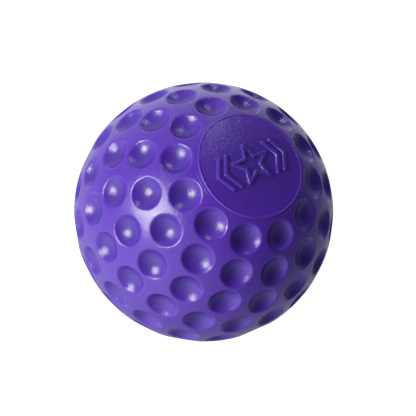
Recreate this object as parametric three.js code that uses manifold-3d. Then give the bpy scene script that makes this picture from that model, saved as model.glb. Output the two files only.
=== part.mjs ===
// A dimpled rubber playground ball, 127 mm (5 in) across, for one-hand throwing and catching.
//
// Frame: millimetres, origin at the ball's centre, +Z through the middle of the emblem pad, -Z through
// the valve in the plain pad on the other side, +X on the meridian where every ring of dimples starts.
//
// From the outside in: two moulded cover halves that meet on the plane z = 0, a thread winding that
// keeps the ball round, an airtight bladder, and the valve, which passes through all of them.
import * as THREE from "three";
import { ConvexHull } from "three/addons/math/ConvexHull.js";
import { mergeVertices } from "three/addons/utils/BufferGeometryUtils.js";
import Module from "manifold-3d";

// ---------------------------------------------------------------- driving dimensions (mm, degrees)
const BALL_RADIUS = 63.5;
const COVER_WALL = 5.6;
const WINDING_WALL = 0.8;
const BLADDER_WALL = 1.2;
const GAP = 0.3; // between faces that touch on the real ball

const RING_COUNTS = [12, 15, 18, 20]; // dimples in each ring, from the pad to the parting plane
const FIRST_RING = 34.2; // polar angle of the first ring's dimple centres
const RING_PITCH = 15.65; // polar angle from one ring to the next
const BOWL_RIM = 7.0; // angular radius of a dimple's rim, seen from the ball's centre
const BOWL_RADIUS = 10.2; // the sphere that a dimple is part of

const PAD_FOOT_RADIUS = 27.7; // where the pad's sloping side meets the ball
const PAD_TOP_RADIUS = 26.6;
const PAD_EDGE_HEIGHT = 58.1; // of the pad's upper edge above the ball's centre
const PAD_DOME_RADIUS = 158; // the pad's face is much flatter than the ball

const EMBLEM_RELIEF = 1;
const EMBLEM_STROKE = 2;
const STAR_RADIUS = 10; // middle of the star's stroke, at its points
const STAR_WAIST = 0.42; // radius of its inner corners, as a share of STAR_RADIUS
const CHEVRON_HEIGHT = 16;
const CHEVRON_DEPTH = 4.4;
const CHEVRON_OFFSETS = [10.8, 15]; // where the two chevrons on each side have their open ends

const VALVE_FACE_HEIGHT = 60.6; // flat outer face of the valve body, the mount for a pump
const VALVE_HEAD_RADIUS = 7.5;
const VALVE_HEAD_DEPTH = 1.5;
const VALVE_HEAD_CHAMFER = 0.5;
const VALVE_NECK_RADIUS = 5.6;
const VALVE_TAIL_RADIUS = 5.0;
const VALVE_TAIL_END = 47;
const VALVE_FLANGE_RADIUS = 12;
const VALVE_FLANGE_WALL = 1.2;
const VALVE_FLANGE_GAP = 0.4; // wider than GAP, because the flange fits under the flats of the bladder
const VALVE_BORE_RADIUS = 3.3;
const VALVE_MOUTH_WIDTH = 0.6; // of the lead-in at the bore's outer end
const VALVE_MOUTH_DEPTH = 0.8;
const CORE_LENGTH = 11.8;
const CORE_RECESS = 0.4; // of the core's outer end below the valve face
const CORE_CHAMFER = 0.8;
const NEEDLE_ENTRY_RADIUS = 1.4;
const NEEDLE_END_RADIUS = 0.5;
const NEEDLE_ENTRY_DEPTH = 2.6;
const PATCH_RADIUS = 13;
const PATCH_WALL = 0.5;

// Worked out from the above: each layer lies GAP inside the one outside it.
const COVER_INNER = BALL_RADIUS - COVER_WALL;
const WINDING_OUTER = COVER_INNER - GAP;
const WINDING_INNER = WINDING_OUTER - WINDING_WALL;
const PATCH_OUTER = WINDING_INNER + PATCH_WALL;
const BLADDER_OUTER = WINDING_INNER - GAP;
const BLADDER_INNER = BLADDER_OUTER - BLADDER_WALL;
const NECK_HOLE = VALVE_NECK_RADIUS + GAP;
const CORE_RADIUS = VALVE_BORE_RADIUS - GAP;
const PAD_DOME_CENTRE =
  PAD_EDGE_HEIGHT - Math.sqrt(PAD_DOME_RADIUS ** 2 - PAD_TOP_RADIUS ** 2);

// Facets. Every large layer uses the same number, so that their flats lie over each other.
const TURN_STEPS = 28;
const ARC_STEP = 360 / TURN_STEPS; // degrees
const BOWL_SIDES = 12;
const BOWL_RINGS = 3;
const DOME_STEPS = 3;
const LEAST_STEP = 1; // degrees, so that no band of facets is a sliver
const VALVE_STEPS = 24;

// ---------------------------------------------------------------- materials
const RUBBER_PURPLE = new THREE.MeshStandardMaterial({ color: 0x5a35b8, roughness: 0.42, metalness: 0 });
const THREAD = new THREE.MeshStandardMaterial({ color: 0xd9d4c6, roughness: 0.85, metalness: 0 });
const BUTYL_BLACK = new THREE.MeshStandardMaterial({ color: 0x1d1d20, roughness: 0.6, metalness: 0 });
const VALVE_RUBBER = new THREE.MeshStandardMaterial({ color: 0x2a2a2e, roughness: 0.5, metalness: 0 });
const CORE_RUBBER = new THREE.MeshStandardMaterial({ color: 0xb9b3a4, roughness: 0.55, metalness: 0 });

// ---------------------------------------------------------------- solids
const wasm = await Module();
wasm.setup();

const { degToRad, radToDeg } = THREE.MathUtils;

function asinDegrees(ratio) {
  return radToDeg(Math.asin(ratio));
}

// A closed geometry as a manifold-3d solid, with its shared corners merged and its slivers dropped.
function toSolid(geometry) {
  const bare = geometry.clone();
  bare.deleteAttribute("normal");
  bare.deleteAttribute("uv");
  const merged = mergeVertices(bare, 1e-4);
  const corners = merged.index.array;
  const triangles = [];
  for (let i = 0; i < corners.length; i += 3) {
    const [a, b, c] = corners.slice(i, i + 3);
    if (a !== b && b !== c && c !== a) triangles.push(a, b, c);
  }
  const mesh = new wasm.Mesh({
    numProp: 3,
    vertProperties: new Float32Array(merged.attributes.position.array),
    triVerts: new Uint32Array(triangles),
  });
  return new wasm.Manifold(mesh);
}

function toGeometry(solid) {
  const mesh = solid.getMesh();
  const geometry = new THREE.BufferGeometry();
  geometry.setAttribute("position", new THREE.BufferAttribute(mesh.vertProperties, 3));
  geometry.setIndex(new THREE.BufferAttribute(mesh.triVerts, 1));
  const faceted = geometry.toNonIndexed();
  faceted.computeVertexNormals();
  return faceted;
}

// Turns a profile of [radius, height] points about Z. Its outer side runs upwards.
function turned(profile, steps = TURN_STEPS) {
  const points = profile.map(([radius, height]) => new THREE.Vector2(radius, height));
  return new THREE.LatheGeometry(points, steps).rotateX(Math.PI / 2);
}

// Profile points on a sphere from one polar angle to another, with corners on the common steps.
function arc(radius, fromAngle, toAngle) {
  const angles = [fromAngle];
  const direction = Math.sign(toAngle - fromAngle);
  for (let step = 1; step < 180 / ARC_STEP; step += 1) {
    const angle = direction > 0 ? step * ARC_STEP : 180 - step * ARC_STEP;
    const fromStart = (angle - fromAngle) * direction;
    const toEnd = (toAngle - angle) * direction;
    if (Math.min(fromStart, toEnd) > LEAST_STEP) angles.push(angle);
  }
  angles.push(toAngle);
  return angles.map((angle) => {
    const radians = degToRad(angle);
    const onAxis = angle === 0 || angle === 180;
    return [onAxis ? 0 : radius * Math.sin(radians), radius * Math.cos(radians)];
  });
}

// ---------------------------------------------------------------- cover
function domeHeight(radius, raisedBy = 0) {
  return PAD_DOME_CENTRE + Math.sqrt((PAD_DOME_RADIUS + raisedBy) ** 2 - radius ** 2);
}

// The face of the pad from its rim in to the axis.
function domeProfile(rimRadius, raisedBy = 0) {
  const points = [];
  for (let step = 0; step <= DOME_STEPS; step += 1) {
    const radius = rimRadius * (1 - step / DOME_STEPS);
    points.push([radius, domeHeight(radius, raisedBy)]);
  }
  return points;
}

// A ring of points about Z, anticlockwise seen from +Z.
function ringOfPoints(radius, height, count) {
  const points = [];
  for (let i = 0; i < count; i += 1) {
    const angle = (2 * Math.PI * i) / count;
    points.push(new THREE.Vector3(radius * Math.cos(angle), radius * Math.sin(angle), height));
  }
  return points;
}

// Corners of the triangles between each ring and the next. A ring of one point closes the surface.
function bandsBetween(rings) {
  const corners = [];
  for (let k = 1; k < rings.length; k += 1) {
    const [from, to] = [rings[k - 1], rings[k]];
    const count = Math.max(from.length, to.length);
    for (let i = 0; i < count; i += 1) {
      const next = (i + 1) % count;
      if (from.length > 1) corners.push(from[i], from[next], to[i % to.length]);
      if (to.length > 1) corners.push(from[next % from.length], to[next], to[i]);
    }
  }
  return corners;
}

// One dimple as rings of points, from its rim on the ball down to its lowest point.
function dimpleRings(polar, azimuth) {
  const rimAngle = degToRad(BOWL_RIM);
  const rimReach = Math.asin((BALL_RADIUS * Math.sin(rimAngle)) / BOWL_RADIUS);
  const bowlCentre = BALL_RADIUS * Math.cos(rimAngle) + BOWL_RADIUS * Math.cos(rimReach);
  const rings = [];
  for (let ring = 0; ring <= BOWL_RINGS; ring += 1) {
    const reach = rimReach * (1 - ring / BOWL_RINGS);
    const height = bowlCentre - BOWL_RADIUS * Math.cos(reach);
    rings.push(ringOfPoints(BOWL_RADIUS * Math.sin(reach), height, reach > 0 ? BOWL_SIDES : 1));
  }
  const place = new THREE.Euler(0, degToRad(polar), degToRad(azimuth), "ZYX");
  rings.flat().forEach((point) => point.applyEuler(place));
  return rings;
}

function allDimples() {
  const dimples = [];
  RING_COUNTS.forEach((count, ring) => {
    for (let place = 0; place < count; place += 1) {
      dimples.push(dimpleRings(FIRST_RING + ring * RING_PITCH, (360 * place) / count));
    }
  });
  return dimples;
}

// The land between the given rims, which all lie on the ball: their convex hull without its flat caps.
function landBetween(rims) {
  const rimOf = new Map(rims.flatMap((rim) => rim.map((point) => [point, rim])));
  const corners = [];
  for (const face of new ConvexHull().setFromPoints([...rimOf.keys()]).faces) {
    const triangle = [face.edge.prev, face.edge, face.edge.next].map((edge) => edge.head().point);
    const [first, second, third] = triangle.map((point) => rimOf.get(point));
    const isCap = first === second && second === third;
    if (!isCap) corners.push(...triangle);
  }
  return corners;
}

// Half of the cover, standing on the parting plane with its pad on top.
function dimpledHalf() {
  const seam = GAP / 2;
  const turnRing = ([radius, height]) => ringOfPoints(radius, height, radius > 0 ? TURN_STEPS : 1);
  const innerArc = arc(COVER_INNER, 0, 90).slice(0, -1);
  const seamRing = turnRing([BALL_RADIUS, seam]);
  const lining = [...[...innerArc, [COVER_INNER, seam]].map(turnRing), seamRing];
  const footHeight = Math.sqrt(BALL_RADIUS ** 2 - PAD_FOOT_RADIUS ** 2);
  const pad = [[PAD_FOOT_RADIUS, footHeight], ...domeProfile(PAD_TOP_RADIUS)].map(turnRing);
  const dimples = allDimples();
  const rims = [seamRing, pad[0], ...dimples.map((rings) => rings[0])];
  const surfaces = [landBetween(rims), ...[lining, pad, ...dimples].map(bandsBetween)];
  return toSolid(new THREE.BufferGeometry().setFromPoints(surfaces.flat()));
}

// A band of the given width along a line of corners, closed or with its ends cut at right angles.
function strokeShape(corners, width, closed) {
  const count = corners.length;
  const headings = corners.map((corner, i) => corners[(i + 1) % count].clone().sub(corner).normalize());
  const side = (sign) =>
    corners.map((corner, i) => {
      const first = headings[closed ? (i + count - 1) % count : Math.max(i - 1, 0)];
      const last = headings[closed ? i : Math.min(i, count - 2)];
      const mitre = new THREE.Vector2(-first.y - last.y, first.x + last.x).normalize();
      const reach = (sign * width) / 2 / mitre.dot(new THREE.Vector2(-first.y, first.x));
      return corner.clone().addScaledVector(mitre, reach);
    });
  if (!closed) return new THREE.Shape([...side(-1), ...side(1).reverse()]);
  const shape = new THREE.Shape(side(-1));
  shape.holes.push(new THREE.Path(side(1)));
  return shape;
}

function starCorners() {
  const corners = [];
  for (let corner = 0; corner < 10; corner += 1) {
    const radius = corner % 2 === 0 ? STAR_RADIUS : STAR_RADIUS * STAR_WAIST;
    const angle = Math.PI / 2 + (corner * Math.PI) / 5;
    corners.push(new THREE.Vector2(radius * Math.cos(angle), radius * Math.sin(angle)));
  }
  return corners;
}

function chevronCorners(offset, side) {
  return [
    new THREE.Vector2(side * offset, -CHEVRON_HEIGHT / 2),
    new THREE.Vector2(side * (offset + CHEVRON_DEPTH), 0),
    new THREE.Vector2(side * offset, CHEVRON_HEIGHT / 2),
  ];
}

// The raised emblem: a plain five-point star between pairs of chevrons, its top following the pad.
function emblem() {
  const shapes = [strokeShape(starCorners(), EMBLEM_STROKE, true)];
  for (const side of [-1, 1]) {
    for (const offset of CHEVRON_OFFSETS) {
      shapes.push(strokeShape(chevronCorners(offset, side), EMBLEM_STROKE, false));
    }
  }
  const sunk = PAD_EDGE_HEIGHT;
  const tall = BALL_RADIUS + EMBLEM_RELIEF - sunk;
  const pillars = shapes.map((shape) => {
    const pillar = new THREE.ExtrudeGeometry(shape, { depth: tall, bevelEnabled: false });
    return toSolid(pillar.translate(0, 0, sunk));
  });
  const raisedFace = domeProfile(PAD_TOP_RADIUS, EMBLEM_RELIEF);
  const partingPlane = [[0, 0], [PAD_TOP_RADIUS, 0]];
  const envelope = toSolid(turned([...partingPlane, ...raisedFace]));
  return wasm.Manifold.union(pillars).intersect(envelope);
}

// The bore for the valve body, in a half that stands pad upwards.
function valveBore() {
  const seat = VALVE_FACE_HEIGHT - VALVE_HEAD_DEPTH - GAP;
  const profile = [
    [0, COVER_INNER - COVER_WALL],
    [NECK_HOLE, COVER_INNER - COVER_WALL],
    [NECK_HOLE, seat],
    [VALVE_HEAD_RADIUS + GAP, seat],
    [VALVE_HEAD_RADIUS + GAP, BALL_RADIUS],
    [0, BALL_RADIUS],
  ];
  return toSolid(turned(profile, VALVE_STEPS));
}

// ---------------------------------------------------------------- layers inside the cover
// A closed shell with a round hole in it for the valve, at the -Z end.
function shellWithHole(outerRadius, innerRadius, holeRadius) {
  const innerEdge = 180 - asinDegrees(holeRadius / innerRadius);
  const outerEdge = 180 - asinDegrees(holeRadius / outerRadius);
  return turned([...arc(innerRadius, 0, innerEdge), ...arc(outerRadius, outerEdge, 0)]);
}

// ---------------------------------------------------------------- valve, made with +Z outwards
function valveBody() {
  const innerFace = BLADDER_INNER - VALVE_FLANGE_GAP;
  const underFlange = Math.sqrt(innerFace ** 2 - VALVE_NECK_RADIUS ** 2);
  const flangeEdge = Math.sqrt(innerFace ** 2 - VALVE_FLANGE_RADIUS ** 2);
  const seat = VALVE_FACE_HEIGHT - VALVE_HEAD_DEPTH;
  return turned(
    [
      [VALVE_BORE_RADIUS, VALVE_TAIL_END],
      [VALVE_TAIL_RADIUS, VALVE_TAIL_END],
      [VALVE_TAIL_RADIUS, flangeEdge - 2 * VALVE_FLANGE_WALL],
      [VALVE_FLANGE_RADIUS, flangeEdge - VALVE_FLANGE_WALL / 2],
      [VALVE_FLANGE_RADIUS, flangeEdge],
      [VALVE_NECK_RADIUS, underFlange],
      [VALVE_NECK_RADIUS, seat],
      [VALVE_HEAD_RADIUS, seat],
      [VALVE_HEAD_RADIUS, VALVE_FACE_HEIGHT - VALVE_HEAD_CHAMFER],
      [VALVE_HEAD_RADIUS - VALVE_HEAD_CHAMFER, VALVE_FACE_HEIGHT],
      [VALVE_BORE_RADIUS + VALVE_MOUTH_WIDTH, VALVE_FACE_HEIGHT],
      [VALVE_BORE_RADIUS, VALVE_FACE_HEIGHT - VALVE_MOUTH_DEPTH],
      [VALVE_BORE_RADIUS, VALVE_TAIL_END],
    ],
    VALVE_STEPS,
  );
}

function valveCore() {
  const outerEnd = VALVE_FACE_HEIGHT - CORE_RECESS;
  const innerEnd = outerEnd - CORE_LENGTH;
  return turned(
    [
      [0, innerEnd],
      [CORE_RADIUS - CORE_CHAMFER, innerEnd],
      [CORE_RADIUS, innerEnd + CORE_CHAMFER],
      [CORE_RADIUS, outerEnd],
      [NEEDLE_ENTRY_RADIUS, outerEnd],
      [NEEDLE_END_RADIUS, outerEnd - NEEDLE_ENTRY_DEPTH],
      [0, outerEnd - NEEDLE_ENTRY_DEPTH],
    ],
    VALVE_STEPS,
  );
}

// A round patch that binds the neck to the bladder's outside, in the hole of the winding.
function valvePatch() {
  const layer = (radius, ...reaches) => arc(radius, ...reaches.map((reach) => asinDegrees(reach / radius)));
  const inner = layer(WINDING_INNER, NECK_HOLE, PATCH_RADIUS);
  const outer = layer(PATCH_OUTER, PATCH_RADIUS, NECK_HOLE);
  return turned([...inner, ...outer, inner[0]]);
}

// ---------------------------------------------------------------- assembly
function named(name, geometry, material) {
  const mesh = new THREE.Mesh(geometry, material);
  mesh.name = name;
  return mesh;
}

const half = dimpledHalf();

const ball = new THREE.Group();
ball.add(named("cover_upper_half", toGeometry(half.add(emblem())), RUBBER_PURPLE));
ball.add(named("thread_winding", shellWithHole(WINDING_OUTER, WINDING_INNER, PATCH_RADIUS + GAP), THREAD));
ball.add(named("bladder", shellWithHole(BLADDER_OUTER, BLADDER_INNER, NECK_HOLE), BUTYL_BLACK));

// The valve side is turned over as one group. Rings that start on +X keep their places in that turn.
const valveSide = new THREE.Group();
valveSide.rotation.x = Math.PI;
valveSide.add(named("cover_lower_half", toGeometry(half.subtract(valveBore())), RUBBER_PURPLE));
valveSide.add(named("valve_patch", valvePatch(), BUTYL_BLACK));
valveSide.add(named("valve_body", valveBody(), VALVE_RUBBER));
valveSide.add(named("valve_core", valveCore(), CORE_RUBBER));
ball.add(valveSide);

export default ball;
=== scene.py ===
"""A dimpled rubber playground ball, 127 mm across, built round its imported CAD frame.

Metres, +Z up. The origin is the ball's centre, +Z passes through the middle of the emblem pad, and the
ball rests on the plain pad at -Z, which holds the valve.
"""
import math

import bmesh
import bpy
import numpy as np
from mathutils import Euler, Matrix, Vector
from mathutils.geometry import delaunay_2d_cdt


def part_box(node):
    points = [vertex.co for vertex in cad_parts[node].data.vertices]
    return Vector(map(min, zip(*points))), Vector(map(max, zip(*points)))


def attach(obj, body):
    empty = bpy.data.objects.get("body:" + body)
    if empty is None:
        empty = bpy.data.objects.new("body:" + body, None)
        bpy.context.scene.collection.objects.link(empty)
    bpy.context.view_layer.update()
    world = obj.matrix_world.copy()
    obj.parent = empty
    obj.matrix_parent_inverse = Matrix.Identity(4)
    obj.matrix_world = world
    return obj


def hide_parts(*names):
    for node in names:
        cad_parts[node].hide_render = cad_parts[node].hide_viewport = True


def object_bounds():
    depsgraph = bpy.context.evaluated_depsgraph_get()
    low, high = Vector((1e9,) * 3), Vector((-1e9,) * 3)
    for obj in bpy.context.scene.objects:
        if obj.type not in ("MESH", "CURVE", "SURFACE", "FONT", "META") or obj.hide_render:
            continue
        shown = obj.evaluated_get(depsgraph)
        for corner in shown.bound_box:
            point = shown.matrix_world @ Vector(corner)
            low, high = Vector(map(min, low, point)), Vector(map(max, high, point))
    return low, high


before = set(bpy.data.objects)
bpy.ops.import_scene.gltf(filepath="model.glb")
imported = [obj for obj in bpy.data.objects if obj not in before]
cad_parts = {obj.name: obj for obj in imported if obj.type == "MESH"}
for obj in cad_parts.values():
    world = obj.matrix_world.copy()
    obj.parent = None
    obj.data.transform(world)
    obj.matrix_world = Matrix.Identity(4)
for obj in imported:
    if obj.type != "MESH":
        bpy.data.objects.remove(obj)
CAD_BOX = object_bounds()

# ---------------------------------------------------------------- sizes
MM = 0.001

# Read from the frame.
BALL_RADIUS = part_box("cover_upper_half")[1].x
WINDING_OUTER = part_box("thread_winding")[1].x
BLADDER_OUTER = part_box("bladder")[1].x
VALVE_FACE = -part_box("valve_body")[0].z
VALVE_TAIL_END = -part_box("valve_body")[1].z
VALVE_FLANGE_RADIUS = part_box("valve_body")[1].x
CORE_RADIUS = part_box("valve_core")[1].x
CORE_OUTER_END = -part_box("valve_core")[0].z
CORE_INNER_END = -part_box("valve_core")[1].z
PATCH_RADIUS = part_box("valve_patch")[1].x

# The rest of the design's driving dimensions.
GAP = 0.3 * MM
COVER_INNER = WINDING_OUTER + GAP
WINDING_WALL = 0.8 * MM
BLADDER_WALL = 1.2 * MM

RING_COUNTS = (12, 15, 18, 20)  # dimples in each ring, from the pad to the parting plane
FIRST_RING = math.radians(34.2)
RING_PITCH = math.radians(15.65)
BOWL_RIM = math.radians(7.0)  # half the angle that a dimple's rim takes up, seen from the centre
BOWL_RADIUS = 10.2 * MM
RIM_ROUNDING = 1.6 * MM
PAINTED_SHADE_DEPTH = 4 * MM  # the dimples' depth, rounded; used for the colour only, as the reach of the painted shade down in the hollows

PAD_FOOT_RADIUS = 27.7 * MM
PAD_TOP_RADIUS = 26.6 * MM
PAD_EDGE_HEIGHT = 58.1 * MM
PAD_DOME_RADIUS = 158 * MM
PAD_LIP_WIDTH = 0.5 * MM  # a fine lip round the pad's face, and a fine bead round the pad's foot
PAD_LIP_HEIGHT = 0.25 * MM
PAD_BEAD_WIDTH = 0.4 * MM
PAD_BEAD_HEIGHT = 0.15 * MM
PAD_ROUNDING = 0.15 * MM
PAD_DOME_CENTRE = PAD_EDGE_HEIGHT - math.sqrt(PAD_DOME_RADIUS**2 - PAD_TOP_RADIUS**2)

SEAM_HALF_GAP = 0.02 * MM  # the halves are bonded, so the parting line is a hairline
SEAM_ROUNDING = 0.08 * MM

EMBLEM_RELIEF = 1.0 * MM
EMBLEM_STROKE = 2.0 * MM
EMBLEM_TOP_ROUNDING = 0.7 * MM
EMBLEM_FOOT_ROUNDING = 0.1 * MM
STAR_RADIUS = 10.0 * MM
STAR_WAIST = 0.42  # radius of the star's inner corners, as a share of STAR_RADIUS
CHEVRON_HEIGHT = 16 * MM
CHEVRON_DEPTH = 4.4 * MM
CHEVRON_OFFSETS = (10.8 * MM, 15.0 * MM)

VALVE_HEAD_RADIUS = 7.5 * MM
VALVE_HEAD_DEPTH = 1.5 * MM
VALVE_NECK_RADIUS = 5.6 * MM
VALVE_TAIL_RADIUS = 5.0 * MM
VALVE_FLANGE_WALL = 1.2 * MM
VALVE_SEAT_ROUNDINGS = (0.4 * MM, 0.3 * MM, 0.3 * MM)  # the mouth of the hole in the cover, then its step
PATCH_WALL = 0.5 * MM
PATCH_BEVEL = 0.6 * MM
NEEDLE_ENTRY_RADIUS = 1.4 * MM
NEEDLE_ENTRY_DEPTH = 2.6 * MM

# Fineness of the meshes.
TURN_STEPS = 144
VALVE_TURN_STEPS = 96
BOWL_SIDES = 48
BOWL_STEPS = 8
ARC_STEPS = 5
LINING_STEPS = 24
LAYER_STEPS = 48
PATCH_STEPS = 10
PAD_FACE_STEPS = 12
LAND_SPACING = 2.0 * MM
PAD_SPACING = 1.6 * MM
ROOM = 0.3  # how far the points between edges keep from an edge, as a share of their spacing
ROOM_AT_DIMPLE = 0.4
ROOM_AT_PAD_EDGE = 0.5
WELD = 0.001 * MM
SAME_POINT = 1e-9


# ---------------------------------------------------------------- mesh tools
def arc(centre, start, end, steps=ARC_STEPS):
    """Points on the arc about centre from centre + start to centre + end."""
    radius, first, last = start.length, start.normalized(), end.normalized()
    return [centre + first.slerp(last, step / steps) * radius for step in range(steps + 1)]


def rounded(corners, radii, steps=ARC_STEPS):
    """A line through 2-D corners, each inner corner made an arc of its radius."""
    line = [corners[0]]
    for before, corner, after, radius in zip(corners, corners[1:], corners[2:], radii):
        back, on = (before - corner).normalized(), (after - corner).normalized()
        half_angle = back.angle(on) / 2
        centre = corner + (back + on).normalized() * (radius / math.sin(half_angle))
        setback = radius / math.tan(half_angle)
        line += arc(centre, corner + back * setback - centre, corner + on * setback - centre, steps)
    return line + [corners[-1]]


def sphere_line(radius, from_polar, to_polar, steps):
    """Points [radius, height] along a sphere about the origin, between two polar angles."""
    polars = [from_polar + (to_polar - from_polar) * step / steps for step in range(steps + 1)]
    return [Vector((radius * math.sin(polar), radius * math.cos(polar))) for polar in polars]


def turn(line, steps=TURN_STEPS):
    """Rings of points about Z, one for each [radius, height] point of the line."""
    rings = []
    for radius, height in line:
        count = steps if radius > WELD else 1
        angles = [2 * math.pi * i / count for i in range(count)]
        rings.append([Vector((radius * math.cos(a), radius * math.sin(a), height)) for a in angles])
    return rings


def bridge(shell, rings):
    """Adds the faces between each closed ring of points and the next. A ring of one point ends them."""
    rows = [[shell.verts.new(point) for point in ring] for ring in rings]
    for low, high in zip(rows, rows[1:]):
        count = max(len(low), len(high))
        for i in range(count):
            j = (i + 1) % count
            corners = (low[i % len(low)], low[j % len(low)], high[j % len(high)], high[i % len(high)])
            shell.faces.new(dict.fromkeys(corners))


def panel(shell, loops, extra, flat, is_open):
    """Adds triangles between closed loops of points, through the extra points.

    flat gives a point's place in a plane, and is_open says where in space the panel has its holes.
    """
    points = [point for loop in loops for point in loop] + extra
    edges = []
    for loop in loops:
        first = len(edges)
        edges += [(first + i, first + (i + 1) % len(loop)) for i in range(len(loop))]
    found = delaunay_2d_cdt([flat(point) for point in points], edges, [], 0, SAME_POINT)
    corners = [points[sources[0]] for sources in found[3]]
    verts = [shell.verts.new(corner) for corner in corners]
    for face in found[2]:
        middle = sum((corners[i] for i in face), Vector((0, 0, 0))) / len(face)
        if not is_open(middle):
            shell.faces.new([verts[i] for i in face])


def area_weighted_normals(mesh):
    """Each vertex's normal as the sum of its faces' normals times their areas, so that flats stay flat."""
    normals = np.zeros((len(mesh.vertices), 3))
    for face in mesh.polygons:
        normals[list(face.vertices)] += np.array(face.normal) * face.area
    lengths = np.linalg.norm(normals, axis=1, keepdims=True)
    return normals / np.maximum(lengths, 1e-30)


def finish_piece(shell, name, node, material, ball_radius=None):
    """Makes the shell a smooth piece that rides on the ball's one body in place of a CAD node.

    Where a point lies on a sphere of ball_radius, its normal is the sphere's own.
    """
    bmesh.ops.remove_doubles(shell, verts=shell.verts, dist=WELD)
    bmesh.ops.recalc_face_normals(shell, faces=shell.faces)
    mesh = bpy.data.meshes.new(name)
    shell.to_mesh(mesh)
    shell.free()
    mesh.shade_smooth()
    normals = area_weighted_normals(mesh)
    if ball_radius:
        places = np.array([vertex.co for vertex in mesh.vertices])
        distances = np.linalg.norm(places, axis=1, keepdims=True)
        on_sphere = abs(distances - ball_radius) < WELD
        normals = np.where(on_sphere, places / np.maximum(distances, WELD), normals)
    mesh.normals_split_custom_set_from_vertices([tuple(normal) for normal in normals])
    mesh.materials.append(material)
    piece = bpy.data.objects.new(name, mesh)
    bpy.context.scene.collection.objects.link(piece)
    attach(piece, "root")
    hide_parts(node)


# ---------------------------------------------------------------- cover
def bowl_line():
    """The angle from a dimple's axis to its outer edge, and its section: rounded rim, then round bowl."""
    rim_radius = BALL_RADIUS * math.sin(BOWL_RIM)
    rise = BALL_RADIUS * math.cos(BOWL_RIM) + math.sqrt(BOWL_RADIUS**2 - rim_radius**2)
    inner, outer = BALL_RADIUS - RIM_ROUNDING, BOWL_RADIUS + RIM_ROUNDING
    reach = math.acos((inner**2 + rise**2 - outer**2) / (2 * inner * rise))
    bowl_centre = Vector((0, rise))
    outward = Vector((math.sin(reach), math.cos(reach)))
    to_bowl = (bowl_centre - outward * inner).normalized()
    rim = arc(outward * inner, outward * RIM_ROUNDING, to_bowl * RIM_ROUNDING)
    bowl = arc(bowl_centre, -to_bowl * BOWL_RADIUS, Vector((0, -BOWL_RADIUS)), BOWL_STEPS)
    return reach, rim + bowl[1:]


def dimple_places():
    """A turn for each dimple of one half, from +Z to its own axis."""
    places = []
    for ring, count in enumerate(RING_COUNTS):
        polar = FIRST_RING + ring * RING_PITCH
        places += [Euler((0, polar, 2 * math.pi * i / count)).to_matrix() for i in range(count)]
    return places


def dome_height(radius):
    return PAD_DOME_CENTRE + math.sqrt(PAD_DOME_RADIUS**2 - radius**2)


def ball_height(radius):
    return math.sqrt(BALL_RADIUS**2 - radius**2)


def pad_edge_line():
    """From the ball's surface over a bead, along a ledge, and up over the lip to the pad's face."""
    bead_top, bead_start = PAD_FOOT_RADIUS + PAD_BEAD_WIDTH / 2, PAD_FOOT_RADIUS + PAD_BEAD_WIDTH
    ledge_end = PAD_TOP_RADIUS + PAD_LIP_HEIGHT
    lip_inner = PAD_TOP_RADIUS - PAD_LIP_WIDTH
    lip_foot, face_rim = lip_inner - PAD_LIP_HEIGHT, lip_inner - 2 * PAD_LIP_HEIGHT
    corners = [
        Vector((bead_start, ball_height(bead_start))),
        Vector((bead_top, ball_height(bead_top) + PAD_BEAD_HEIGHT)),
        Vector((PAD_FOOT_RADIUS, ball_height(PAD_FOOT_RADIUS))),
        Vector((ledge_end, ball_height(ledge_end))),
        Vector((PAD_TOP_RADIUS, PAD_EDGE_HEIGHT + PAD_LIP_HEIGHT)),
        Vector((lip_inner, dome_height(lip_inner) + PAD_LIP_HEIGHT)),
        Vector((lip_foot, dome_height(lip_foot))),
        Vector((face_rim, dome_height(face_rim))),
    ]
    return rounded(corners, [PAD_ROUNDING] * (len(corners) - 2))


def spiral_points(spacing):
    """Evenly spread points over the upper half of the ball."""
    count = round(2 * math.pi * BALL_RADIUS**2 / spacing**2)
    golden_angle = math.pi * (3 - math.sqrt(5))
    points = []
    for i in range(count):
        height = 1 - (i + 0.5) / count
        around, radius = i * golden_angle, math.sqrt(1 - height * height)
        points.append(Vector((radius * math.cos(around), radius * math.sin(around), height)) * BALL_RADIUS)
    return points


def add_land_and_dimples(shell, pad_ring, seam_ring):
    """The ball's surface from the pad to the parting plane, with its dimples."""
    reach, line = bowl_line()
    axes, rims = [], []
    for place in dimple_places():
        rings = [[place @ point for point in ring] for ring in turn(line, BOWL_SIDES)]
        bridge(shell, rings)
        rims.append(rings[0])
        axes.append(place @ Vector((0, 0, 1)))
    inside = math.cos(reach)
    clear = math.cos(reach + ROOM_AT_DIMPLE * LAND_SPACING / BALL_RADIUS)
    ceiling, ground = pad_ring[0].z, seam_ring[0].z
    room = ROOM * LAND_SPACING

    def in_hole(point):
        direction = point.normalized()
        return point.z > ceiling or any(direction.dot(axis) > inside for axis in axes)

    def on_land(point):
        if not ground + room < point.z < ceiling - room:
            return False
        return all(point.dot(axis) < clear * BALL_RADIUS for axis in axes)

    def flat(point):
        return Vector((point.x, point.y)) / (BALL_RADIUS + point.z)

    extra = [point for point in spiral_points(LAND_SPACING) if on_land(point)]
    panel(shell, [seam_ring, pad_ring, *rims], extra, flat, in_hole)


def seam_line():
    """From the ball's surface round its edge and across the parting plane to the inside."""
    start = Vector((math.sqrt(BALL_RADIUS**2 - (4 * SEAM_ROUNDING) ** 2), 4 * SEAM_ROUNDING))
    corners = [start, Vector((BALL_RADIUS, SEAM_HALF_GAP)), Vector((COVER_INNER, SEAM_HALF_GAP))]
    return rounded(corners, (SEAM_ROUNDING,))


def lining_line(opening=0.0):
    """The cover's inner face, from the parting plane to an opening at the pole."""
    edge = math.asin(opening / COVER_INNER)
    return sphere_line(COVER_INNER, math.acos(SEAM_HALF_GAP / COVER_INNER), edge, LINING_STEPS)


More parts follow.
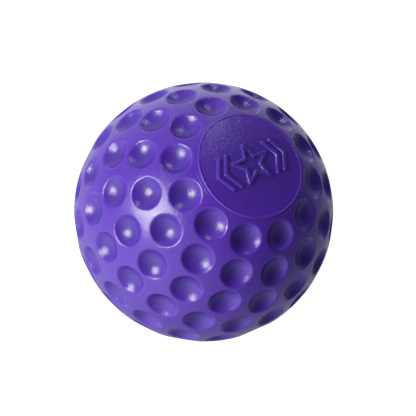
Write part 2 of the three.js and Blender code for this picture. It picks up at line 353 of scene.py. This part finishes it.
# ---------------------------------------------------------------- emblem
def star_corners():
    corners = []
    for corner in range(10):
        radius = STAR_RADIUS * (STAR_WAIST if corner % 2 else 1)
        angle = math.pi / 2 + corner * math.pi / 5
        corners.append(Vector((math.cos(angle), math.sin(angle))) * radius)
    return corners


def chevron_corners(offset, side):
    tip = Vector((side * (offset + CHEVRON_DEPTH), 0))
    return [Vector((side * offset, -CHEVRON_HEIGHT / 2)), tip, Vector((side * offset, CHEVRON_HEIGHT / 2))]


def fan(start, end, steps=ARC_STEPS):
    """Unit directions from start to end."""
    return [start.slerp(end, step / steps) for step in range(steps + 1)]


def side_stations(corners, closed):
    """(point, direction) along the left side of a line. Outer corners are round and inner ones mitred."""
    stations = []
    count = len(corners)
    for i, corner in enumerate(corners):
        ends_here = not closed and i in (0, count - 1)
        before = (corner - corners[i - 1]).normalized()
        after = (corners[(i + 1) % count] - corner).normalized()
        if ends_here:
            heading = after if i == 0 else before
            stations.append((corner, heading.orthogonal()))
            continue
        first, last = before.orthogonal(), after.orthogonal()
        if before.x * after.y - before.y * after.x < 0:
            stations += [(corner, direction) for direction in fan(first, last)]
        else:
            stations.append((corner, (first + last) / (1 + first.dot(last))))
    return stations


def stroke_loops(corners, closed):
    """The closed outlines of a stroke, each a list of (point, direction)."""
    if closed:
        return [side_stations(corners, True), side_stations(corners[::-1], True)]
    loop = []
    for line in (corners, corners[::-1]):
        along = side_stations(line, False)
        end, heading = along[-1]
        ahead = (line[-1] - line[-2]).normalized()
        loop += along + [(end, direction) for direction in fan(heading, ahead)[1:]]
        loop += [(end, direction) for direction in fan(ahead, -heading)[1:-1]]
    return [loop]


def stroke_section():
    """[distance from the middle, height] across half a stroke: round shoulders, then a hollow foot."""
    half, top = EMBLEM_STROKE / 2, EMBLEM_RELIEF
    corners = [Vector((0, top)), Vector((half, top)), Vector((half, 0)), Vector((half * 2, 0))]
    return rounded(corners, (EMBLEM_TOP_ROUNDING, EMBLEM_FOOT_ROUNDING))[:-1]


def distance_to_segment(point, start, end):
    along = end - start
    share = min(1, max(0, (point - start).dot(along) / along.length_squared))
    return (point - start - along * share).length


def add_emblem_face(shell, face_ring):
    """The pad's face inside face_ring, with a raised star between pairs of chevrons."""
    strokes = [(star_corners(), True)]
    strokes += [(chevron_corners(offset, side), False) for side in (-1, 1) for offset in CHEVRON_OFFSETS]
    section = stroke_section()
    loops, segments = [face_ring], []
    for corners, closed in strokes:
        segments += list(zip(corners, corners[1:] + corners[:1] if closed else corners[1:]))
        for stations in stroke_loops(corners, closed):
            rings = []
            for away, height in section:
                places = [point + direction * away for point, direction in stations]
                rings.append([Vector((*place, dome_height(place.length) + height)) for place in places])
            bridge(shell, rings)
            loops.append(rings[-1])
    foot = section[-1].x

    def distance_to_emblem(point):
        return min(distance_to_segment(point.xy, start, end) for start, end in segments)

    def on_face(point):
        inside = point.xy.length < face_ring[0].x - ROOM_AT_PAD_EDGE * PAD_SPACING
        return inside and distance_to_emblem(point) > foot + ROOM * PAD_SPACING

    row_pitch = math.sqrt(0.75)
    rows = math.ceil(PAD_TOP_RADIUS / PAD_SPACING / row_pitch)
    extra = []
    for row in range(-rows, rows + 1):
        for column in range(-rows, rows + 1):
            place = Vector((column + row % 2 / 2, row * row_pitch)) * PAD_SPACING
            if place.length < PAD_TOP_RADIUS:
                extra.append(Vector((*place, dome_height(place.length))))
    extra = [point for point in extra if on_face(point)]
    panel(shell, loops, extra, lambda point: point.xy, lambda point: distance_to_emblem(point) < foot)


def upper_half(material):
    shell = bmesh.new()
    seam, pad_edge = turn(seam_line()), turn(pad_edge_line())
    bridge(shell, seam + turn(lining_line())[1:])
    bridge(shell, pad_edge)
    add_land_and_dimples(shell, pad_edge[0], seam[0])
    add_emblem_face(shell, pad_edge[-1])
    finish_piece(shell, "emblem_cover_half", "cover_upper_half", material, BALL_RADIUS)


def bored_pad_line():
    """The plain pad's face and the valve's seat in it, from the pad's edge to the cover's inner face."""
    rim = pad_edge_line()[-1].x
    mouth, neck = VALVE_HEAD_RADIUS + GAP, VALVE_NECK_RADIUS + GAP
    seat = VALVE_FACE - VALVE_HEAD_DEPTH - GAP
    face = [rim + (mouth - rim) * step / PAD_FACE_STEPS for step in range(PAD_FACE_STEPS + 1)]
    corners = [
        Vector((face[-2], dome_height(face[-2]))),
        Vector((mouth, dome_height(mouth))),
        Vector((mouth, seat)),
        Vector((neck, seat)),
        Vector((neck, math.sqrt(COVER_INNER**2 - neck**2))),
    ]
    bore = rounded(corners, VALVE_SEAT_ROUNDINGS)
    return [Vector((radius, dome_height(radius))) for radius in face[:-2]] + bore


def lower_half(material):
    shell = bmesh.new()
    seam, pad_edge = turn(seam_line()), turn(pad_edge_line())
    bridge(shell, seam + turn(lining_line(VALVE_NECK_RADIUS + GAP))[1:])
    bridge(shell, pad_edge)
    bridge(shell, turn(bored_pad_line()))
    add_land_and_dimples(shell, pad_edge[0], seam[0])
    bmesh.ops.rotate(shell, verts=shell.verts, matrix=Matrix.Rotation(math.pi, 3, "X"))
    finish_piece(shell, "valve_cover_half", "cover_lower_half", material, BALL_RADIUS)


# ---------------------------------------------------------------- inner layers and valve
def lined_shell(outer, wall, opening):
    """A thin round shell with a hole for the valve at -Z."""
    inner = outer - wall
    inside = sphere_line(inner, 0, math.pi - math.asin(opening / inner), LAYER_STEPS)
    outside = sphere_line(outer, math.pi - math.asin(opening / outer), 0, LAYER_STEPS)
    shell = bmesh.new()
    bridge(shell, turn(inside + outside))
    return shell


def turned_down(line):
    """A piece turned from a section drawn with +Z outwards, put in place with its outer end at -Z."""
    shell = bmesh.new()
    bridge(shell, turn(line, VALVE_TURN_STEPS))
    bmesh.ops.rotate(shell, verts=shell.verts, matrix=Matrix.Rotation(math.pi, 3, "X"))
    return shell


def valve_body(material):
    flange_face = math.sqrt((BLADDER_OUTER - BLADDER_WALL - GAP) ** 2 - VALVE_FLANGE_RADIUS**2)
    neck_face = math.sqrt((BLADDER_OUTER - BLADDER_WALL - GAP) ** 2 - VALVE_NECK_RADIUS**2)
    bore = CORE_RADIUS + GAP
    seat = VALVE_FACE - VALVE_HEAD_DEPTH
    start = (bore, VALVE_FACE - 2 * MM)  # on the straight wall of the bore
    corners = [
        start,
        (bore, VALVE_FACE),
        (VALVE_HEAD_RADIUS, VALVE_FACE),
        (VALVE_HEAD_RADIUS, seat),
        (VALVE_NECK_RADIUS, seat),
        (VALVE_NECK_RADIUS, neck_face),
        (VALVE_FLANGE_RADIUS, flange_face),
        (VALVE_FLANGE_RADIUS, flange_face - VALVE_FLANGE_WALL / 2),
        (VALVE_TAIL_RADIUS, flange_face - 2 * VALVE_FLANGE_WALL),
        (VALVE_TAIL_RADIUS, VALVE_TAIL_END),
        (bore, VALVE_TAIL_END),
        start,
    ]
    radii = [radius * MM for radius in (0.6, 0.5, 0.4, 0.3, 0.5, 0.25, 0.25, 0.8, 0.6, 0.3)]
    shell = turned_down(rounded([Vector(corner) for corner in corners], radii))
    finish_piece(shell, "valve_stem", "valve_body", material)


def valve_core(material):
    corners = [
        (0, CORE_INNER_END),
        (CORE_RADIUS, CORE_INNER_END),
        (CORE_RADIUS, CORE_OUTER_END),
        (NEEDLE_ENTRY_RADIUS, CORE_OUTER_END),
        (NEEDLE_ENTRY_RADIUS / 3, CORE_OUTER_END - NEEDLE_ENTRY_DEPTH),
        (0, CORE_OUTER_END - NEEDLE_ENTRY_DEPTH),
    ]
    radii = [radius * MM for radius in (0.8, 0.3, 0.3, 0.2)]
    shell = turned_down(rounded([Vector(corner) for corner in corners], radii))
    finish_piece(shell, "needle_core", "valve_core", material)


def valve_patch(material):
    inner = WINDING_OUTER - WINDING_WALL
    outer = inner + PATCH_WALL
    neck = VALVE_NECK_RADIUS + GAP
    top_radius = PATCH_RADIUS - PATCH_BEVEL
    under = sphere_line(inner, math.asin(neck / inner), math.asin(PATCH_RADIUS / inner), PATCH_STEPS)
    over = sphere_line(outer, math.asin(top_radius / outer), math.asin(neck / outer), PATCH_STEPS)
    shell = turned_down(under + over + under[:1])
    finish_piece(shell, "neck_patch", "valve_patch", material)


# ---------------------------------------------------------------- materials
class Finish:
    """One procedural material, worked out from places on the object in metres."""

    def __init__(self, name, roughness):
        self.material = bpy.data.materials.new(name)
        self.material.use_nodes = True
        self.nodes = self.material.node_tree.nodes
        self.links = self.material.node_tree.links
        self.shader = self.nodes["Principled BSDF"]
        self.shader.inputs["Roughness"].default_value = roughness
        self.place = self.nodes.new("ShaderNodeTexCoord").outputs["Object"]
        self.relief = None

    def noise(self, size, detail=2.0):
        """Noise from 0 to 1 with features of about that size."""
        node = self.nodes.new("ShaderNodeTexNoise")
        node.inputs["Scale"].default_value = 1 / size
        node.inputs["Detail"].default_value = detail
        self.links.new(self.place, node.inputs["Vector"])
        return node.outputs["Fac"]

    def stretch(self, value, before, after):
        """value, with the range before stretched to the range after."""
        node = self.nodes.new("ShaderNodeMapRange")
        for name, limit in zip(("From Min", "From Max", "To Min", "To Max"), (*before, *after)):
            node.inputs[name].default_value = limit
        self.links.new(value, node.inputs["Value"])
        return node.outputs["Result"]

    def spread(self, noise, low, high):
        """Noise stretched so that most of it goes from low to high."""
        return self.stretch(noise, (0.35, 0.65), (low, high))

    def rise(self, low, high):
        """From 0 to 1 as the distance from the ball's centre goes from low to high."""
        distance = self.nodes.new("ShaderNodeVectorMath")
        distance.operation = "LENGTH"
        self.links.new(self.place, distance.inputs[0])
        return self.stretch(distance.outputs["Value"], (low, high), (0, 1))

    def colours(self, share, first, second):
        """The base colour, from first to second as share goes from 0 to 1."""
        node = self.nodes.new("ShaderNodeMix")
        node.data_type = "RGBA"
        colour_inputs = [socket for socket in node.inputs if socket.type == "RGBA"]
        colour_inputs[0].default_value = (*first, 1)
        colour_inputs[1].default_value = (*second, 1)
        self.links.new(share, node.inputs["Factor"])
        result = [socket for socket in node.outputs if socket.type == "RGBA"][0]
        self.links.new(result, self.shader.inputs["Base Color"])

    def roughen(self, value):
        self.links.new(value, self.shader.inputs["Roughness"])

    def bump(self, height, depth):
        """Adds relief of that depth on top of the relief already there."""
        node = self.nodes.new("ShaderNodeBump")
        node.inputs["Distance"].default_value = depth
        self.links.new(height, node.inputs["Height"])
        if self.relief:
            self.links.new(self.relief, node.inputs["Normal"])
        self.relief = node.outputs["Normal"]
        self.links.new(self.relief, self.shader.inputs["Normal"])


def cover_rubber():
    """Purple rubber with painted shade: a little darker down in the hollows than on the land."""
    finish = Finish("purple_rubber", 0.3)
    height = finish.rise(BALL_RADIUS - PAINTED_SHADE_DEPTH, BALL_RADIUS)
    # Painted shade: the base colour darkens from the land colour at the ball's radius to the hollow colour
    # a dimple's depth further in, so the dimples' floors and the sunken pad are shaded darker.
    finish.colours(height, (0.077, 0.030, 0.435), (0.106, 0.028, 0.565))
    finish.roughen(finish.spread(finish.noise(9 * MM, 4), 0.19, 0.25))
    finish.shader.inputs["Specular IOR Level"].default_value = 0.9
    finish.bump(finish.noise(12 * MM, 1), 0.1 * MM)
    finish.bump(finish.noise(0.6 * MM, 1), 0.15 * MM)
    return finish.material


def plain_rubber(name, dark, light, roughness):
    finish = Finish(name, roughness)
    finish.colours(finish.spread(finish.noise(5 * MM, 4), 0, 1), dark, light)
    finish.roughen(finish.spread(finish.noise(3 * MM), roughness - 0.06, roughness + 0.06))
    finish.bump(finish.noise(0.5 * MM), 0.02 * MM)
    return finish.material


def winding_thread():
    finish = Finish("cotton_thread", 0.85)
    finish.colours(finish.noise(0.6 * MM), (0.60, 0.56, 0.48), (0.72, 0.69, 0.61))
    finish.shader.inputs["Sheen Weight"].default_value = 0.3
    finish.bump(finish.noise(0.4 * MM), 0.1 * MM)
    return finish.material


# ---------------------------------------------------------------- studio
CAMERA_AZIMUTH = math.radians(-70.7)
CAMERA_ELEVATION = math.radians(57.75)
CAMERA_ROLL = math.radians(45.5)
CAMERA_DISTANCE = 22 * BALL_RADIUS
CAMERA_LENS = 246.7
CAMERA_SHIFT = (0.0105, 0.0094)
CAMERA_CLIP = (0.1, 20)
CAMERA_TURN = (
    Matrix.Rotation(CAMERA_AZIMUTH, 3, "Z")
    @ Matrix.Rotation(math.pi / 2 - CAMERA_ELEVATION, 3, "X")
    @ Matrix.Rotation(CAMERA_ROLL, 3, "Z")
)

# Where the light comes from: (right, up, towards the camera), as the camera above sees it.
LAMP_DISTANCE = 1.2
LAMPS = (  # name, direction, size, power, colour
    ("key", (-0.70, 0.05, 0.71), 0.55, 10.8, (1, 0.99, 0.80)),
    ("top", (0.25, 0.90, 0.34), 0.18, 1.75, (0.86, 0.87, 1)),
)
SOFT_LIGHTS = (  # direction, sharpness, strength
    ((-0.68, -0.68, 0.29), 2.7, 1.03),
    ((-0.50, 0.80, 0.33), 5.0, 0.27),
    ((-0.28, 0.40, -0.87), 3.5, 0.48),
    ((0.0, 0.70, -0.70), 5.0, 0.85),
    ((-0.80, -0.30, -0.52), 12.0, 0.45),
    ((0.80, -0.35, -0.50), 5.0, 0.1),
    ((0.45, -0.60, -0.66), 6.0, 0.23),
)
DIM_ALL_ROUND = 0.01

FLOOR_RADIUS = 1.5
FLOOR_GREY = (0.5, 0.5, 0.5)
FLOOR_GLOW = 1.0
FLOOR_CLEARANCE = 0.05 * MM


def seen_from_camera(direction):
    return (CAMERA_TURN @ Vector(direction)).normalized()


def make_camera():
    camera = bpy.data.objects.new("camera", bpy.data.cameras.new("camera"))
    bpy.context.scene.collection.objects.link(camera)
    camera.matrix_world = CAMERA_TURN.to_4x4() @ Matrix.Translation((0, 0, CAMERA_DISTANCE))
    camera.data.lens = CAMERA_LENS
    camera.data.shift_x, camera.data.shift_y = CAMERA_SHIFT
    camera.data.clip_start, camera.data.clip_end = CAMERA_CLIP
    bpy.context.scene.camera = camera


def make_lamp(name, direction, size, power, colour):
    light = bpy.data.lights.new(name, "AREA")
    light.shape = "DISK"
    light.size = size
    light.energy = power
    light.color = colour
    lamp = bpy.data.objects.new(name, light)
    bpy.context.scene.collection.objects.link(lamp)
    away = seen_from_camera(direction)
    lamp.location = away * LAMP_DISTANCE
    lamp.rotation_mode = "QUATERNION"
    lamp.rotation_quaternion = away.to_track_quat("Z", "Y")
    lamp.visible_camera = False


def only_to_camera(nodes, links, seen, otherwise, output):
    """Shows one shader to the camera, and another to every other ray."""
    ray, mix = nodes.new("ShaderNodeLightPath"), nodes.new("ShaderNodeMixShader")
    links.new(ray.outputs["Is Camera Ray"], mix.inputs["Fac"])
    links.new(otherwise.outputs[0], mix.inputs[1])
    links.new(seen.outputs[0], mix.inputs[2])
    links.new(mix.outputs["Shader"], output.inputs["Surface"])


def make_world():
    """White to the camera. As light, dim all round with a few broad soft lights."""
    world = bpy.data.worlds.new("studio")
    world.use_nodes = True
    bpy.context.scene.world = world
    nodes, links = world.node_tree.nodes, world.node_tree.links
    nodes.clear()

    def calculate(operation, *values):
        node = nodes.new("ShaderNodeMath")
        node.operation = operation
        for socket, value in zip(node.inputs, values):
            if isinstance(value, (int, float)):
                socket.default_value = value
            else:
                links.new(value, socket)
        return node.outputs["Value"]

    place = nodes.new("ShaderNodeTexCoord").outputs["Generated"]
    total = DIM_ALL_ROUND
    for direction, sharpness, strength in SOFT_LIGHTS:
        toward = nodes.new("ShaderNodeVectorMath")
        toward.operation = "DOT_PRODUCT"
        toward.inputs[1].default_value = seen_from_camera(direction)
        links.new(place, toward.inputs[0])
        cosine = toward.outputs["Value"]
        lobe = calculate("EXPONENT", calculate("MULTIPLY_ADD", cosine, sharpness, -sharpness))
        total = calculate("MULTIPLY_ADD", lobe, strength, total)
    light, seen = nodes.new("ShaderNodeBackground"), nodes.new("ShaderNodeBackground")
    light.inputs["Color"].default_value = (1, 1, 1, 1)
    seen.inputs["Color"].default_value = (1, 1, 1, 1)
    links.new(total, light.inputs["Strength"])
    only_to_camera(nodes, links, seen, light, nodes.new("ShaderNodeOutputWorld"))


def make_floor():
    """A white floor just under the ball's lowest point. Only the camera sees it."""
    mesh = bpy.data.meshes.new("floor")
    shell = bmesh.new()
    bmesh.ops.create_circle(shell, cap_ends=True, radius=FLOOR_RADIUS, segments=96)
    shell.to_mesh(mesh)
    shell.free()
    floor = bpy.data.objects.new("floor", mesh)
    bpy.context.scene.collection.objects.link(floor)
    floor.location.z = CAD_BOX[0].z - FLOOR_CLEARANCE
    material = bpy.data.materials.new("white_floor")
    material.use_nodes = True
    nodes, links = material.node_tree.nodes, material.node_tree.links
    nodes.clear()
    paint, glow = nodes.new("ShaderNodeBsdfDiffuse"), nodes.new("ShaderNodeEmission")
    paint.inputs["Color"].default_value = (*FLOOR_GREY, 1)
    glow.inputs["Strength"].default_value = FLOOR_GLOW
    both, clear = nodes.new("ShaderNodeAddShader"), nodes.new("ShaderNodeBsdfTransparent")
    links.new(paint.outputs["BSDF"], both.inputs[0])
    links.new(glow.outputs["Emission"], both.inputs[1])
    only_to_camera(nodes, links, both, clear, nodes.new("ShaderNodeOutputMaterial"))
    mesh.materials.append(material)


# ---------------------------------------------------------------- the scene
make_camera()
for lamp in LAMPS:
    make_lamp(*lamp)
make_world()
make_floor()
bpy.context.scene.view_settings.view_transform = "Standard"

rubber = cover_rubber()
upper_half(rubber)
lower_half(rubber)
winding = lined_shell(WINDING_OUTER, WINDING_WALL, PATCH_RADIUS + GAP)
finish_piece(winding, "wound_thread", "thread_winding", winding_thread())
black = plain_rubber("butyl_rubber", (0.010, 0.010, 0.012), (0.016, 0.016, 0.018), 0.6)
bladder = lined_shell(BLADDER_OUTER, BLADDER_WALL, VALVE_NECK_RADIUS + GAP)
finish_piece(bladder, "air_bladder", "bladder", black)
valve_patch(black)
valve_body(plain_rubber("valve_rubber", (0.020, 0.020, 0.022), (0.028, 0.028, 0.030), 0.5))
valve_core(plain_rubber("core_rubber", (0.44, 0.41, 0.34), (0.50, 0.46, 0.38), 0.55))
